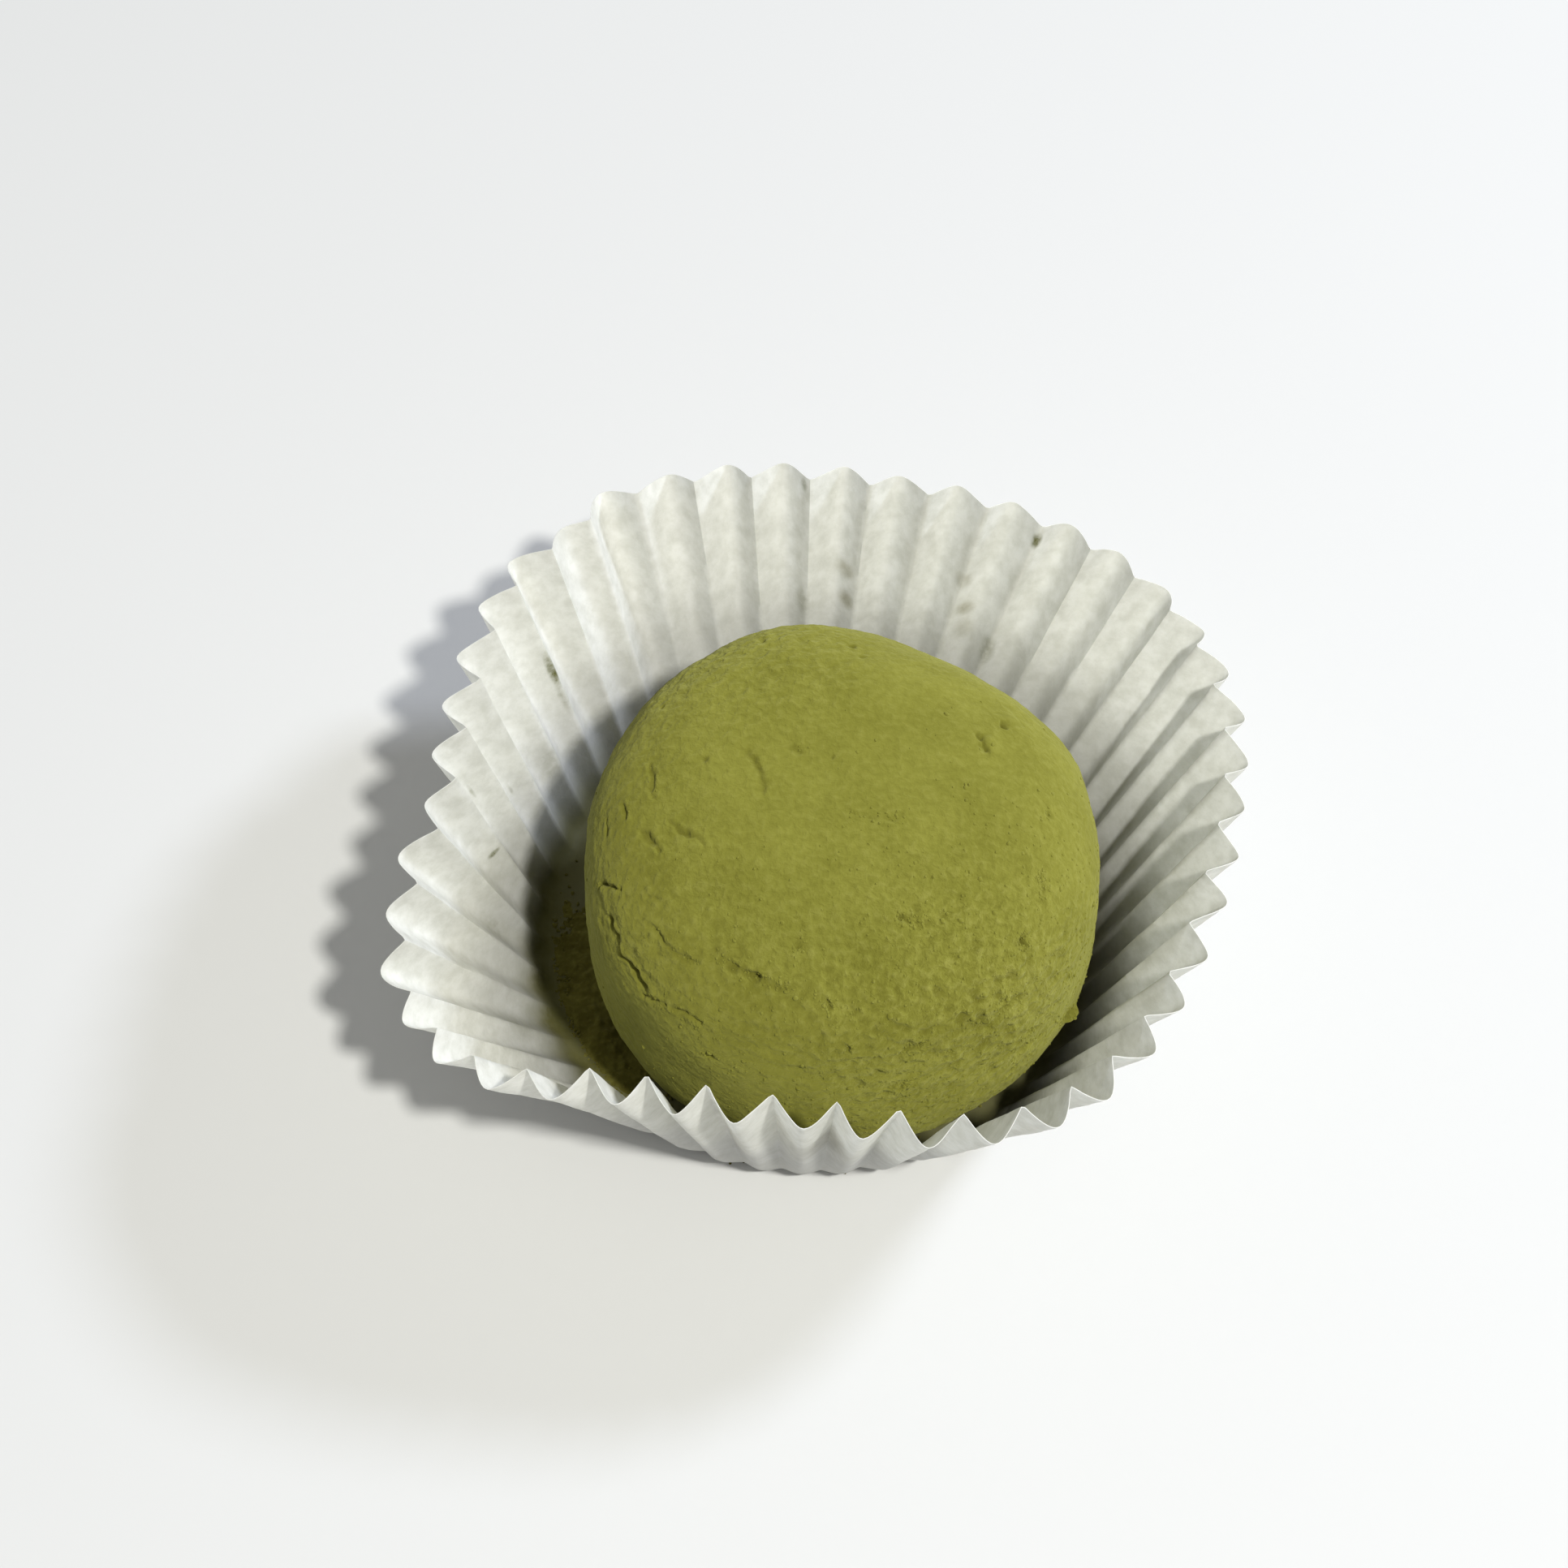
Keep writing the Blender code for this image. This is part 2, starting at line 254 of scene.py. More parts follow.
# The last, low on the front wall, is a greasy patch whose grey is painted shade.
BROWN_MARKS = (
    (85.5, 16.4, 1.3, 1.0, 0.4), (85.0, 13.2, 1.2, 1.0, 0.45), (65.0, 15.0, 1.1, 0.9, 0.45),
    (66.5, 18.4, 1.2, 0.9, 0.25), (64.0, 12.6, 1.2, 1.4, 0.2), (271.0, 14.5, 3.6, 4.5, 0.35),
)
# The fold at the left: a fat stain, darkened further as painted shade under the cookie.
FAT_AND_SHADE_MARKS = (
    (164.0, 0.0, 2.4, 2.0, 0.6), (172.0, 0.2, 2.6, 2.4, 0.85), (181.0, 0.3, 2.6, 2.6, 0.9),
    (191.0, 0.3, 2.8, 3.0, 0.9), (202.0, 0.3, 2.8, 3.0, 0.9), (213.0, 0.2, 2.6, 2.6, 0.8),
    (223.0, 0.0, 2.2, 2.2, 0.6),
)


def paper_marks(paper, place, marks, least):
    """How strongly soft-edged marks cover the paper, as a shader output. Least is the cover of
    the thinnest flecks within a mark."""
    cover = 0.0
    for azimuth, up, width, length, strength in marks:
        turn = (math.radians(azimuth) - FIRST_FLUTE) * FLUTES / (2 * math.pi)
        spot, above = sheet_point(np.full(2, turn), np.array([up, up + 1]) * MM)
        along = Vector(above - spot).normalized()
        sideways = Vector((-math.sin(math.radians(azimuth)), math.cos(math.radians(azimuth)), 0))
        depth = sideways.cross(along).normalized()
        turned = Matrix((along.cross(depth), along, depth)).transposed().to_euler()
        local = add_node(paper, "ShaderNodeMapping", {
            "Vector": place, "Location": spot, "Rotation": turned,
            "Scale": (width * MM, length * MM, width * MM)}, vector_type="TEXTURE")
        away = add_node(paper, "ShaderNodeVectorMath", {0: local["Vector"]}, operation="LENGTH")
        soft = add_node(paper, "ShaderNodeMapRange", {
            "Value": away["Value"], "From Min": 0.2, "From Max": 1.3, "To Min": strength,
            "To Max": 0.0}, interpolation_type="SMOOTHSTEP")
        cover = add_node(paper, "ShaderNodeMath", {0: soft["Result"], 1: cover},
                         operation="MAXIMUM")["Value"]
    grain = add_node(paper, "ShaderNodeTexNoise", {
        "Vector": place, "Scale": 1 / (0.6 * MM), "Detail": 3.0, "Roughness": 0.6})
    patchy = add_node(paper, "ShaderNodeMapRange", {
        "Value": grain["Fac"], "From Min": 0.35, "From Max": 0.6, "To Min": least, "To Max": 1.0})
    return add_node(paper, "ShaderNodeMath", {0: cover, 1: patchy["Result"]},
                    operation="MULTIPLY")["Value"]


def greaseproof_paper(name, marks_and_colours, dust_and_shade):
    """Greaseproof paper, wet-beaten pulp pressed smooth: matt with a faint satin, thin enough to
    glow where light comes through it, and cloudy where the fibres lie uneven."""
    paper = new_material(name)
    place = add_node(paper, "ShaderNodeTexCoord", {})["Object"]
    # Fibre clouds are 1 to 2 mm across, and the fibres themselves are too fine to show, so the
    # flecks are drawn a quarter of a millimetre wide.
    cloud = add_node(paper, "ShaderNodeTexNoise", {
        "Vector": place, "Scale": 1 / (1.5 * MM), "Detail": 6.0, "Roughness": 0.7})
    cloudy = add_node(paper, "ShaderNodeMapRange", {
        "Value": cloud["Fac"], "From Min": 0.36, "From Max": 0.62})
    face = add_node(paper, "ShaderNodeMix", {
        0: cloudy["Result"], 6: "#f0f0ea", 7: "#fefefa"}, data_type="RGBA")[2]
    for marks, colour, least in marks_and_colours:
        face = add_node(paper, "ShaderNodeMix", {
            0: paper_marks(paper, place, marks, least), 6: face, 7: colour}, data_type="RGBA")[2]
    height = add_node(paper, "ShaderNodeSeparateXYZ", {"Vector": place})["Z"]
    if dust_and_shade:
        # Powder lies thick on the bottom and thins upwards in the flutes.
        haze = add_node(paper, "ShaderNodeTexNoise", {
            "Vector": place, "Scale": 1 / (4.0 * MM), "Detail": 7.0, "Roughness": 0.7})
        # The dark lower layer is partly this powder and partly painted shade for the shaded foot of
        # the case.
        for top, share, noise_low, colour in ((13.0, 0.18, 0.42, "#c9c89c"),
                                              (6.5, 0.95, 0.10, "#76733c")):
            low = add_node(paper, "ShaderNodeMapRange", {
                "Value": height, "From Min": 0.5 * MM, "From Max": top * MM, "To Min": share,
                "To Max": 0.02}, interpolation_type="SMOOTHSTEP")
            hazy = add_node(paper, "ShaderNodeMapRange", {
                "Value": haze["Fac"], "From Min": noise_low, "From Max": noise_low + 0.22})
            dust_and_shade_cover = add_node(paper, "ShaderNodeMath", {0: low["Result"], 1: hazy["Result"]},
                             operation="MULTIPLY")
            face = add_node(paper, "ShaderNodeMix", {
                0: dust_and_shade_cover["Value"], 6: face, 7: colour}, data_type="RGBA")[2]
    fibre = add_node(paper, "ShaderNodeTexNoise", {
        "Vector": place, "Scale": 1 / (0.25 * MM), "Detail": 3.0, "Roughness": 0.65})
    flecked = add_node(paper, "ShaderNodeBump", {
        "Height": fibre["Fac"], "Strength": 0.2, "Distance": 0.03 * MM})
    soft = add_node(paper, "ShaderNodeTexNoise", {
        "Vector": place, "Scale": 1 / (1.1 * MM), "Detail": 3.0})
    rumpled = add_node(paper, "ShaderNodeBump", {
        "Height": soft["Fac"], "Normal": flecked["Normal"], "Strength": 0.5,
        "Distance": 0.11 * MM})
    front = add_node(paper, "ShaderNodeBsdfPrincipled", {
        "Base Color": face, "Normal": rumpled["Normal"], "Roughness": 0.62, "IOR": 1.5,
        "Specular IOR Level": 0.35})
    # Low down, the light that comes through the paper is darkened towards grey: painted shade for
    # the dark gap between the cookie and the wall.
    painted_shade_low = add_node(paper, "ShaderNodeMapRange", {
        "Value": height, "From Min": 4.0 * MM, "From Max": 15.0 * MM, "To Min": 1.0,
        "To Max": 0.0}, interpolation_type="SMOOTHSTEP")
    glow = add_node(paper, "ShaderNodeMix", {
        0: painted_shade_low["Result"], 6: face, 7: "#4a483c"}, data_type="RGBA")[2]
    through = add_node(paper, "ShaderNodeBsdfTranslucent", {"Color": glow})
    sheet = add_node(paper, "ShaderNodeMixShader", {0: 0.42, 1: front[0], 2: through[0]})
    add_node(paper, "ShaderNodeOutputMaterial", {"Surface": sheet[0]})
    return paper


case = paper_sheet(
    greaseproof_paper("greaseproof_paper_dusted_and_shaded",
                      ((POWDER_MARKS, "#6f6f2b", 0.45), (BROWN_MARKS, "#98905a", 0.7),
                       (FAT_AND_SHADE_MARKS, "#5d5823", 0.5)), True),
    greaseproof_paper("greaseproof_paper_clean", ((BROWN_MARKS, "#9a968a", 0.8),), False))
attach(case, "root")
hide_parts("paper_case")

# ---------------------------------------------------------------- the cookie
# A ball of soft marshmallow dough, shaped by hand, settled under its own weight and rolled in
# green tea powder. The skin has dried and cracked where it was pinched and where it sagged over
# the left side, and the powder clings in fine clumps and wrinkles.

COOKIE_RADIUS = 22.85 * MM
COOKIE_HEIGHT = 34.0 * MM
COOKIE_CENTRE = (2.2 * MM, -3.6 * MM)
COOKIE_MIDDLE = (*COOKIE_CENTRE, COOKIE_HEIGHT / 2)
COOKIE_FOOT = 0.6 * MM           # its underside, a hair over the paper
FOOT_FLAT = 0.5 * MM             # how much of the round underside is pressed flat
CROWN_POWER = 3.0                # 2 is an ellipsoid: higher gives a flatter top and fuller shoulder
UNDER_POWER = 3.55
OUTLINE_LOBES = ((2, 0.005, 35.0), (3, 0.015, -17.0), (4, 0.005, -21.0))
# Soft hollows and swellings: (azimuth, degrees down from the top, degrees wide, depth).
HOLLOWS = ((63.0, 52.0, 24.0, 1.5 * MM), (22.0, 72.0, 12.0, -0.5 * MM),
           (80.0, 46.0, 14.0, 0.35 * MM))
COOKIE_CUTS = 110                # cuts across each side of the cube that the ball starts from

# A place is (azimuth, degrees down from the top). Each crack, crease or pit is
# (places, half width in mm, depth in mm).
CRACKS = (
    (((204.0, 61.5), (208.0, 62.0), (212.5, 64.5), (218.0, 65.0), (221.5, 66.0)), 0.23, 0.70),
    (((222.0, 69.0), (224.5, 66.5), (228.0, 65.0)), 0.15, 0.60),
    (((230.0, 64.5), (234.0, 63.0), (237.5, 63.5)), 0.15, 0.25),
    (((195.0, 61.5), (198.0, 57.0), (202.0, 53.0)), 0.14, 0.55),
    (((217.0, 50.0), (222.5, 51.0), (226.0, 50.5), (231.0, 49.0)), 0.22, 0.20),
    (((234.0, 44.5), (238.0, 45.0), (240.0, 45.5)), 0.22, 0.15),
    (((240.0, 45.5), (243.5, 46.0), (247.0, 46.0)), 0.32, 0.42),
    (((247.0, 46.0), (251.0, 46.5), (255.0, 47.0)), 0.22, 0.15),
    (((190.5, 43.0), (195.0, 41.0), (199.0, 40.0)), 0.25, 0.28),
    (((192.0, 36.0), (197.0, 34.5), (201.5, 32.0), (207.0, 31.0)), 0.25, 0.24),
    (((169.0, 42.0), (173.0, 40.5), (180.5, 40.0)), 0.21, 0.22),
    (((179.5, 48.0), (184.0, 47.0)), 0.12, 0.20),
    (((181.0, 54.0), (185.0, 54.0)), 0.13, 0.30),
    (((24.0, 32.0), (20.0, 32.0), (17.0, 32.0)), 0.28, 0.70),
    (((28.0, 40.0), (26.0, 40.0)), 0.28, 0.60),
    (((321.0, 50.5), (320.0, 53.0)), 0.21, 0.60),
    (((291.0, 34.0), (294.5, 35.5), (298.5, 36.0)), 0.20, 0.22),
    (((310.0, 61.0), (310.5, 64.0)), 0.16, 0.35),
    (((284.5, 67.5), (288.0, 67.0)), 0.17, 0.35),
    (((283.0, 84.0), (286.0, 81.0)), 0.20, 0.35),
    (((285.0, 9.0), (302.0, 11.0), (319.0, 14.5), (326.0, 15.0)), 0.16, 0.10),
    (((209.0, 47.0), (214.0, 44.0)), 0.12, 0.15),
    (((328.5, 103.0), (333.5, 106.5)), 0.20, 0.60),
)
DENTS = (
    (((159.5, 21.0), (165.5, 19.0), (174.0, 17.0), (187.0, 16.5)), 0.36, 0.30),
    (((337.5, 45.5), (333.0, 48.0)), 0.30, 0.18),
    (((168.0, 29.0),), 0.35, 0.30),
    (((142.0, 14.0), (142.0, 11.0)), 0.32, 0.18),
    (((108.5, 6.0),), 0.22, 0.18),
    (((291.0, 34.0),), 0.30, 0.35),
    (((355.5, 44.0),), 0.32, 0.30),
    (((85.5, 40.0),), 0.32, 0.40),
    (((82.0, 35.5),), 0.28, 0.25),
    (((271.5, 62.0),), 0.28, 0.40),
    (((272.5, 51.0),), 0.22, 0.30),
    (((266.0, 49.0), (267.0, 50.5)), 0.20, 0.28),
    (((240.5, 75.0),), 0.35, 0.35),
    (((112.0, 46.0),), 0.28, 0.30),
    (((147.0, 48.0),), 0.25, 0.30),
    (((256.0, 38.0),), 0.28, 0.18),
    (((295.0, 74.0),), 0.38, 0.40),
    (((317.0, 88.0),), 0.32, 0.35),
)
FINE_REACH = (1.0, 0.6)          # mm from a crack or dent, within which the mesh is made finer
SAG = (CRACKS[0][0], 0.18, 3.0)  # below this crack the skin has sunk: (places, mm, reach in mm)
LIP = (0.5, 0.25, 0.04)          # beside each crack the skin is raised: (mm away, mm wide, mm high)
STRAY = (1.1, 0.24)              # cracks and dents stray from their line: (mm apart, mm aside)
RAGGED = (0.45, 0.10)            # and cracks have ragged edges besides
# Folds and clumps of powder that stand proud: (places, half width in mm, height in mm).
RIDGES = (
    (((252.0, 66.5), (254.5, 68.0), (258.0, 68.5), (264.0, 67.5)), 0.36, 0.16),
    (((216.0, 59.0), (220.0, 55.0)), 0.30, 0.14),
    (((21.0, 34.0),), 0.60, 0.28),
    (((29.0, 43.5),), 0.60, 0.25),
    (((331.5, 107.0), (334.5, 109.5)), 0.50, 0.75),
)
# Broad lumps in the dough, then the powder's clumps and crumbs: (mm apart, mm high, seed).
DOUGH_LUMPS = ((9.0, 0.22, 0.0), (3.4, 0.15, 8.0))
DRAWN_IN = 0.2                   # mm, to keep the tallest lumps within the ball
CRUMBS = ((1.2, 0.05, 14.0), (0.7, 0.15, 10.0))
WRINKLES = (1.5, 0.08, 9.0)
PITS = (1.3, 0.30, 15.0)
# Where the powder lies more or less roughly: (azimuth, degrees down, reach, how much).
ROUGH_SPOTS = ((298.0, 68.0, 0.22, 1.1), (112.0, 44.0, 0.10, 0.6), (226.0, 56.0, 0.08, 0.5),
               (50.0, 38.0, 0.25, -0.25), (234.0, 89.0, 0.07, -0.7), (256.0, 92.0, 0.06, -0.6))
ROUGHEST = 1.6
GRAINS = 1600                    # single grains and clumps that stand on the skin
GRAINS_FROM = 4.0 * MM           # lowest height at which they cling: below, the skin turns under


def ways(places):
    """Unit directions for (azimuth, degrees down from the top) pairs."""
    azimuth, tilt = np.radians(np.array(places, dtype=float)).T
    return np.stack([np.sin(tilt) * np.cos(azimuth), np.sin(tilt) * np.sin(azimuth),
                     np.cos(tilt)], -1)


def ways_out(points):
    """Unit directions from the cookie's middle to each point."""
    way = points - np.array(COOKIE_MIDDLE)
    return way / np.linalg.norm(way, axis=1, keepdims=True)


def ball_skin(way):
    """The smooth skin of the settled ball, for an array of unit directions from its middle."""
    across = np.hypot(way[:, 0], way[:, 1])
    power = np.where(way[:, 2] > 0, CROWN_POWER, UNDER_POWER)
    reach = (across ** power + np.abs(way[:, 2]) ** power) ** (-1.0 / power)
    lobes = 1.0 + wave_sum(OUTLINE_LOBES, np.arctan2(way[:, 1], way[:, 0]))
    out = COOKIE_RADIUS * reach * lobes
    half = (COOKIE_HEIGHT + FOOT_FLAT) / 2
    height = COOKIE_FOOT - FOOT_FLAT + half * (1.0 + way[:, 2] * reach)
    skin = np.stack([COOKIE_CENTRE[0] + out * way[:, 0], COOKIE_CENTRE[1] + out * way[:, 1],
                     height], -1)
    for azimuth, tilt, width, depth in HOLLOWS:
        away = np.degrees(np.arccos(np.clip(way @ ways([(azimuth, tilt)])[0], -1, 1)))
        skin -= way * (depth * np.exp(-(away / width) ** 2))[:, None]
    skin[:, 2] = np.maximum(skin[:, 2], COOKIE_FOOT)
    return skin


def gap_to(points, path):
    """Distance in mm from each point to a bent line, and how far below the line it is."""
    best = np.full(len(points), np.inf)
    below = np.zeros(len(points))
    for start, end in zip(path, path[1:] if len(path) > 1 else path):
        along = end - start
        share = np.clip((points - start) @ along / max(along @ along, 1e-12), 0, 1)
        place = start + share[:, None] * along
        gap = np.linalg.norm(points - place, axis=1)
        nearer = gap < best
        best = np.where(nearer, gap, best)
        below = np.where(nearer, place[:, 2] - points[:, 2], below)
    return best / MM, below / MM


def cookie_relief(skin):
    """How far the dusted skin stands off the smooth ball, in metres, how strongly its cracks and
    pits are darkened, in tone and as painted shade, and how rough it is, each from 0 to 1."""
    rise = sum(high * field(skin, apart * MM, seed) for apart, high, seed in DOUGH_LUMPS)
    rise -= DRAWN_IN
    stray = np.stack([field(skin, STRAY[0] * MM, seed) for seed in (4.0, 5.0, 6.0)], -1)
    wander = skin + STRAY[1] * MM * stray
    ragged = np.stack([field(skin, RAGGED[0] * MM, seed) for seed in (24.0, 25.0, 26.0)], -1)
    ragged = wander + RAGGED[1] * MM * ragged
    # A crack opens and closes along its length, and a deep one is darker inside, in tone and as
    # painted shade.
    vary = (1.0 + 1.1 * field(skin, 1.2 * MM, 13.0)).clip(0.35, 1.6)
    cavity_tone_and_shade = np.zeros(len(skin))
    for places, half_width, depth in CRACKS:
        gap, _ = gap_to(ragged, ball_skin(ways(places)))
        cut = vary * np.exp(-(gap / (half_width * vary)) ** 1.5)
        rise -= depth * cut
        rise += LIP[2] * np.exp(-((gap - LIP[0]) / LIP[1]) ** 2)
        cavity_tone_and_shade = np.maximum(cavity_tone_and_shade, cut * min(1.0, depth / 0.45))
    for places, half_width, depth in DENTS:
        gap, _ = gap_to(wander, ball_skin(ways(places)))
        cut = np.exp(-(gap / half_width) ** 2)
        rise -= depth * cut
        cavity_tone_and_shade = np.maximum(cavity_tone_and_shade, 0.8 * cut * min(1.0, depth / 0.35))
    for places, half_width, height in RIDGES:
        gap, _ = gap_to(wander, ball_skin(ways(places)))
        rise += height * np.exp(-(gap / half_width) ** 2)
    gap, below = gap_to(wander, ball_skin(ways(SAG[0])))
    rise -= SAG[1] * np.exp(-(gap / SAG[2]) ** 2) / (1 + np.exp(-below / 0.06))
    # The powder lies clumped, in soft wrinkles, crumbs and small pits.
    way = ways_out(skin)
    rough = 0.48 + 0.25 * field(skin, 10.0 * MM, 7.0)
    for azimuth, tilt, reach, more in ROUGH_SPOTS:
        rough += more * np.exp(-((1 - way @ ways([(azimuth, tilt)])[0]) / reach) ** 2)
    rough = rough.clip(0.2, ROUGHEST)
    apart, high, seed = WRINKLES
    rise += high * rough * (1 - 2 * np.abs(field(skin, apart * MM, seed)))
    rise += sum(high * rough * field(skin, apart * MM, seed) for apart, high, seed in CRUMBS)
    apart, deep, seed = PITS
    pit = ((field(skin, apart * MM, seed) - 0.22) / 0.3).clip(0, 1) * (rough / ROUGHEST) ** 3
    rise -= deep * pit
    cavity_tone_and_shade = np.maximum(cavity_tone_and_shade, 0.5 * pit)
    return rise * MM, cavity_tone_and_shade.clip(0, 1), rough / ROUGHEST


def ball_ways(shape):
    """Unit directions for a finely cut cube's corners, evenly spread over the ball."""
    corners = np.array([vert.co for vert in shape.verts])
    way = np.tan(corners * math.pi / 4)
    return way / np.linalg.norm(way, axis=1, keepdims=True)


def cookie_piece(material):
    """The settled ball, its mesh cut finer along each crack and dent, pushed out by its relief."""
    shape = bmesh.new()
    bmesh.ops.create_cube(shape, size=2.0)
    bmesh.ops.subdivide_edges(shape, edges=shape.edges[:], cuts=COOKIE_CUTS, use_grid_fill=True)
    paths = [ball_skin(ways(mark[0])) for mark in CRACKS + DENTS]
    for reach in FINE_REACH:
        skin = ball_skin(ball_ways(shape))
        near = np.min([gap_to(skin, path)[0] for path in paths], axis=0) < reach
        shape.verts.index_update()
        edges = [edge for edge in shape.edges if all(near[vert.index] for vert in edge.verts)]
        bmesh.ops.subdivide_edges(shape, edges=edges, cuts=1, use_grid_fill=True)
    bmesh.ops.triangulate(shape, faces=[face for face in shape.faces if len(face.verts) > 4])
    skin = ball_skin(ball_ways(shape))
    mesh = bpy.data.meshes.new("dusted_cookie")
    shape.to_mesh(mesh)
    shape.free()
    mesh.vertices.foreach_set("co", skin.ravel())
    mesh.update()
    normal = np.empty(skin.size)
    mesh.vertices.foreach_get("normal", normal)
    relief, cavity_tone_and_shade, rough = cookie_relief(skin)
    relief[skin[:, 2] <= COOKIE_FOOT + 1e-7] = 0.0
    mesh.attributes.new("cavity_tone_and_shade", "FLOAT", "POINT").data.foreach_set("value", cavity_tone_and_shade)
    mesh.attributes.new("rough", "FLOAT", "POINT").data.foreach_set("value", rough)
    skin = skin + normal.reshape(-1, 3) * relief[:, None]
    skin[:, 2] = np.clip(skin[:, 2], COOKIE_FOOT, None)
    mesh.vertices.foreach_set("co", skin.ravel())
    mesh.update()
    mesh.shade_smooth()
    mesh.materials.append(material)
    piece = bpy.data.objects.new("dusted_cookie", mesh)
    bpy.context.scene.collection.objects.link(piece)
    return piece


def tea_powder(name, light, middle, dark):
    """Stone-ground green tea on starchy dough: bone dry and quite matt, with a soft bloom at grazing
    angles, paler where it lies thick and darker in each crack and pit, in tone and as painted shade."""
    powder = new_material(name)
    place = add_node(powder, "ShaderNodeTexCoord", {})["Object"]
    patch = add_node(powder, "ShaderNodeTexNoise", {
        "Vector": place, "Scale": 1 / (5.5 * MM), "Detail": 4.0, "Roughness": 0.5})
    patchy = add_node(powder, "ShaderNodeMapRange", {
        "Value": patch["Fac"], "From Min": 0.36, "From Max": 0.66})
    base = add_node(powder, "ShaderNodeMix", {
        0: patchy["Result"], 6: middle, 7: light}, data_type="RGBA")[2]
    # The powder lies in clumps under a millimetre across, paler on top and darker in the dips, the
    # more so where it lies roughly: partly its own tone, partly painted highlight on the tops and
    # painted shade in the dips.
    rough = add_node(powder, "ShaderNodeAttribute", {}, attribute_name="rough")["Fac"]
    shade = add_node(powder, "ShaderNodeMapRange", {
        "Value": rough, "From Min": 0.35, "From Max": 1.0, "To Min": 0.17, "To Max": 0.34})
    clump = add_node(powder, "ShaderNodeTexNoise", {
        "Vector": place, "Scale": 1 / (0.7 * MM), "Detail": 3.5, "Roughness": 0.55,
        "Distortion": 0.3})
    dips = add_node(powder, "ShaderNodeMapRange", {
        "Value": clump["Fac"], "From Min": 0.30, "From Max": 0.50, "To Max": 0.0,
        "To Min": shade["Result"]})
    base = add_node(powder, "ShaderNodeMix", {
        0: dips["Result"], 6: base, 7: dark}, data_type="RGBA")[2]
    crests = add_node(powder, "ShaderNodeMapRange", {
        "Value": clump["Fac"], "From Min": 0.50, "From Max": 0.70, "To Min": 0.0,
        "To Max": shade["Result"]})
    base = add_node(powder, "ShaderNodeMix", {
        0: crests["Result"], 6: base, 7: "#a19f55"}, data_type="RGBA")[2]
    # Cracks and pits are mixed towards the dark colour, partly the dough's tone and partly painted
    # shade.
    cavity_tone_and_shade = add_node(powder, "ShaderNodeAttribute", {}, attribute_name="cavity_tone_and_shade")["Fac"]
    shown = add_node(powder, "ShaderNodeMath", {0: cavity_tone_and_shade, 1: 0.55}, operation="MULTIPLY")
    base = add_node(powder, "ShaderNodeMix", {
        0: shown["Value"], 6: base, 7: dark}, data_type="RGBA")[2]
    # Single grains are too fine to show, so the finest grain is drawn a fifth of a millimetre wide.
    grain = add_node(powder, "ShaderNodeTexNoise", {
        "Vector": place, "Scale": 1 / (0.22 * MM), "Detail": 3.0, "Roughness": 0.7})
    strength = add_node(powder, "ShaderNodeMapRange", {
        "Value": rough, "From Min": 0.0, "From Max": 1.0, "To Min": 0.38, "To Max": 1.0})
    clumped = add_node(powder, "ShaderNodeBump", {
        "Height": clump["Fac"], "Strength": strength["Result"], "Distance": 0.46 * MM})
    grained = add_node(powder, "ShaderNodeBump", {
        "Height": grain["Fac"], "Normal": clumped["Normal"], "Strength": 0.2,
        "Distance": 0.04 * MM})
    dry = add_node(powder, "ShaderNodeBsdfPrincipled", {
        "Base Color": base, "Normal": grained["Normal"], "Roughness": 0.95, "IOR": 1.45,
        "Diffuse Roughness": 0.6, "Specular IOR Level": 0.15, "Sheen Weight": 0.13,
        "Sheen Roughness": 0.5, "Sheen Tint": "#d3d5a0"})
    add_node(powder, "ShaderNodeOutputMaterial", {"Surface": dry["BSDF"]})
    return powder


def lumps(name, centres, radii, ups, seed, material):
    """Many small uneven lumps, each squashed along its own up direction."""
    rng = np.random.default_rng(seed)
    shape = bmesh.new()
    bmesh.ops.create_icosphere(shape, subdivisions=1, radius=1.0)
    ball = np.array([vert.co for vert in shape.verts])
    faces = np.array([[vert.index for vert in face.verts] for face in shape.faces])
    shape.free()
    count = len(centres)
    points = ball[None] * rng.uniform(0.7, 1.25, (count, len(ball), 1))
    points = points * rng.uniform(0.75, 1.3, (count, 1, 3)) * radii[:, None, None]
    squash = (points * ups[:, None]).sum(-1, keepdims=True)
    points = centres[:, None] + points - 0.35 * squash * ups[:, None]
    faces = (faces[None] + len(ball) * np.arange(count)[:, None, None]).reshape(-1, 3)
    return add_piece(name, points.reshape(-1, 3).tolist(), faces.tolist(), material)


def clinging_grains(cookie, material):
    """Grains and clumps of powder stuck to the skin, thickest low on the right."""
    rng = np.random.default_rng(8)
    points = np.empty(len(cookie.data.vertices) * 3)
    normals = np.empty(len(cookie.data.vertices) * 3)
    cookie.data.vertices.foreach_get("co", points)
    cookie.data.vertices.foreach_get("normal", normals)
    points = points.reshape(-1, 3)
    normals = normals.reshape(-1, 3)
    open_skin = np.flatnonzero(points[:, 2] > GRAINS_FROM)
    spot = points[open_skin]
    crumbly = np.exp(-((1 - ways_out(spot) @ ways([ROUGH_SPOTS[0][:2]])[0]) / 0.4) ** 2)
    patchy = np.clip(field(spot, 4.0 * MM, 30.0) + 0.1, 0, 1)
    weight = 0.005 + 1.6 * crumbly + 0.2 * patchy
    chosen = rng.choice(open_skin, GRAINS, replace=False, p=weight / weight.sum())
    radii = rng.uniform(0.07, 0.15, GRAINS) * MM
    large = rng.random(GRAINS) < 0.06
    radii[large] *= 1.7
    centres = points[chosen] + normals[chosen] * (radii * 0.1)[:, None]
    return lumps("clinging_powder", centres, radii, normals[chosen], 9, material)


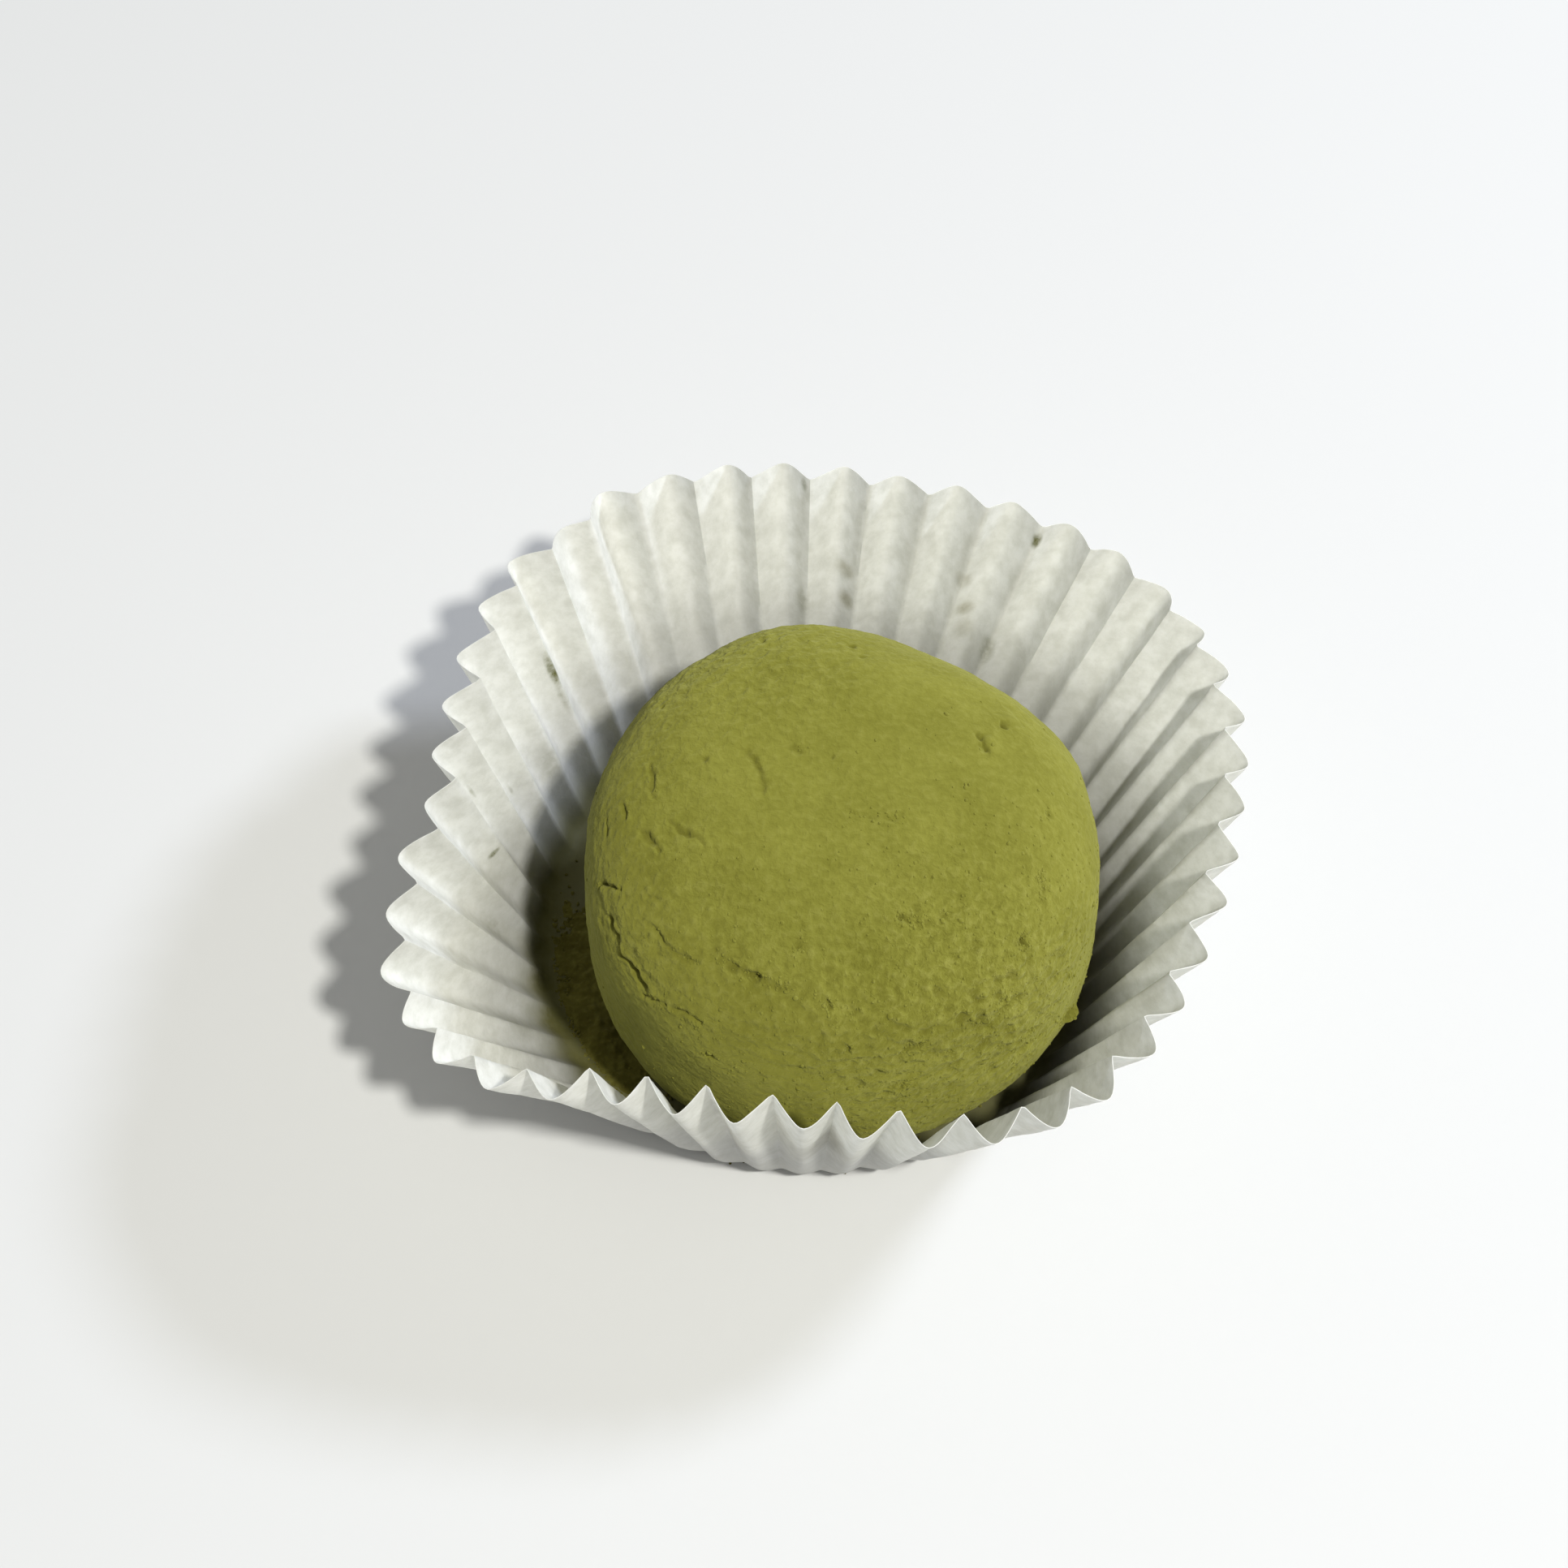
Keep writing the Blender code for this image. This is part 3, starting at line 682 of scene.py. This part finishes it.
dry_powder = tea_powder("green_tea_powder_dry", "#848335", "#7b7a2e", "#595616")
cookie = cookie_piece(dry_powder)
grains = clinging_grains(cookie, dry_powder)
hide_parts("cookie")
for piece in (cookie, grains):
    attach(piece, "root")

# ---------------------------------------------------------------- the fallen powder
# Spare tea powder that has dropped from the cookie: a low drift on the bottom of the case along
# the cookie's left side, darkened by soaked-up fat and by painted shade, and single crumbs strewn
# about.

PAPER_TOP = SHELL / 2 + SHEET / 2
DRIFT_TURN = (168.0, 229.0)      # degrees round the case
DRIFT_OUT = (16.5, 24.4)         # mm from the middle
DRIFT_HEIGHT = 0.9 * MM


def powder_drift(material):
    """A lumpy low heap over a patch of the case's bottom, up against the fold."""
    across, along = 80, 260
    v, u = np.meshgrid(np.linspace(0, 1, along + 1), np.linspace(0, 1, across + 1), indexing="ij")
    azimuth = np.radians(DRIFT_TURN[0] + (DRIFT_TURN[1] - DRIFT_TURN[0]) * v)
    out = (DRIFT_OUT[0] + (DRIFT_OUT[1] - DRIFT_OUT[0]) * u) * MM
    spot = np.stack([out * np.cos(azimuth), out * np.sin(azimuth), 0 * out], -1)
    flat = spot.reshape(-1, 3)
    lump = 0.6 * field(flat, 2.6 * MM, 20.0) + 0.4 * field(flat, 0.9 * MM, 21.0)
    lump += 0.25 * field(flat, 0.4 * MM, 22.0)
    # The heap thins out raggedly: where it would be thinner than its lumps, the paper shows.
    body = np.minimum(1.0, 5 * v * (1 - v)) * np.minimum(1.0, 4 * u + 0.2)
    body *= np.minimum(1.0, 2.5 * (1 - u) + 0.15)
    height = DRIFT_HEIGHT * (body * (0.9 + 0.5 * lump.reshape(u.shape)) + 0.35 *
                             lump.reshape(u.shape) - 0.22)
    spot[..., 2] = PAPER_TOP + np.clip(height, -0.08 * MM, None)
    row = across + 1
    faces = [(j * row + i, j * row + i + 1, (j + 1) * row + i + 1, (j + 1) * row + i)
             for j in range(along) for i in range(across)]
    return add_piece("powder_drift", spot.reshape(-1, 3).tolist(), faces, material)


def loose_crumbs(material):
    """Crumbs strewn on the case's bottom, thickest round the drift."""
    rng = np.random.default_rng(5)
    count = 1200
    azimuth = np.radians(np.where(rng.random(count) < 0.85, rng.normal(203.0, 14.0, count),
                                  rng.uniform(0.0, 360.0, count)))
    out = (24.4 - np.abs(rng.normal(0.0, 3.0, count))) * MM
    radii = rng.uniform(0.07, 0.20, count) * MM
    centres = np.stack([out * np.cos(azimuth), out * np.sin(azimuth), PAPER_TOP + radii * 0.4], -1)
    ups = np.tile((0.0, 0.0, 1.0), (count, 1))
    piece = lumps("loose_crumbs", centres, radii, ups, 6, material)
    for vert in piece.data.vertices:
        vert.co.z = max(vert.co.z, SHELL / 2)
    return piece


# Darker colours than the cookie's: partly fat, partly painted shade under the cookie's overhang.
soaked_and_shaded_powder = tea_powder("green_tea_powder_soaked_and_shaded", "#706b2e", "#585320", "#39350f")
for piece in (powder_drift(soaked_and_shaded_powder), loose_crumbs(soaked_and_shaded_powder)):
    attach(piece, "root")

# ---------------------------------------------------------------- the studio
# A plain pale floor, a soft key light from the front right, a weaker bluish one from the back
# right, as from two windows, and a pale room round them.

bpy.ops.mesh.primitive_plane_add(size=3.0, location=(0, 0, -0.02 * MM))
floor = bpy.context.object
floor.name = "studio_floor"
# Painted board, matt and pale: it shows the shadows and throws light back up at the paper.
pale = new_material("painted_board_pale")
board = add_node(pale, "ShaderNodeBsdfPrincipled", {"Base Color": "#d5d5d3", "Roughness": 0.7})
add_node(pale, "ShaderNodeOutputMaterial", {"Surface": board["BSDF"]})
floor.data.materials.append(pale)


def soft_light(name, place, size, power, colour):
    """A round lamp of this size in metres and power in watts, aimed at the cookie."""
    lamp = bpy.data.lights.new(name, "AREA")
    lamp.shape = "DISK"
    lamp.size = size
    lamp.energy = power
    lamp.color = linear(colour)[:3]
    obj = bpy.data.objects.new(name, lamp)
    obj.location = place
    obj.rotation_euler = (Vector((0, 0, 0.015)) - Vector(place)).to_track_quat("-Z", "Y").to_euler()
    bpy.context.scene.collection.objects.link(obj)


soft_light("key", (0.354, -0.453, 1.055), 0.09, 12.2, "#fffef8")
soft_light("sky", (0.626, 0.333, 0.554), 0.16, 4.6, "#dde5f9")

world = bpy.data.worlds.new("room")
bpy.context.scene.world = world
world.use_nodes = True
world.node_tree.nodes["Background"].inputs["Color"].default_value = linear("#f7f8f8")
world.node_tree.nodes["Background"].inputs["Strength"].default_value = 0.36

# A long lens, held about 35 cm away and tilted 31.5 degrees from straight down.
camera = bpy.data.cameras.new("camera")
camera.lens = 88.5
camera.sensor_width = 36.0
camera.clip_start = 0.01
view = bpy.data.objects.new("camera", camera)
view.location = (-2.65 * MM, -175.62 * MM, 314.42 * MM)
view.rotation_euler = (math.radians(31.5), 0, 0)
bpy.context.scene.collection.objects.link(view)
bpy.context.scene.camera = view
bpy.context.scene.view_settings.view_transform = "Standard"
bpy.context.scene.view_settings.look = "None"
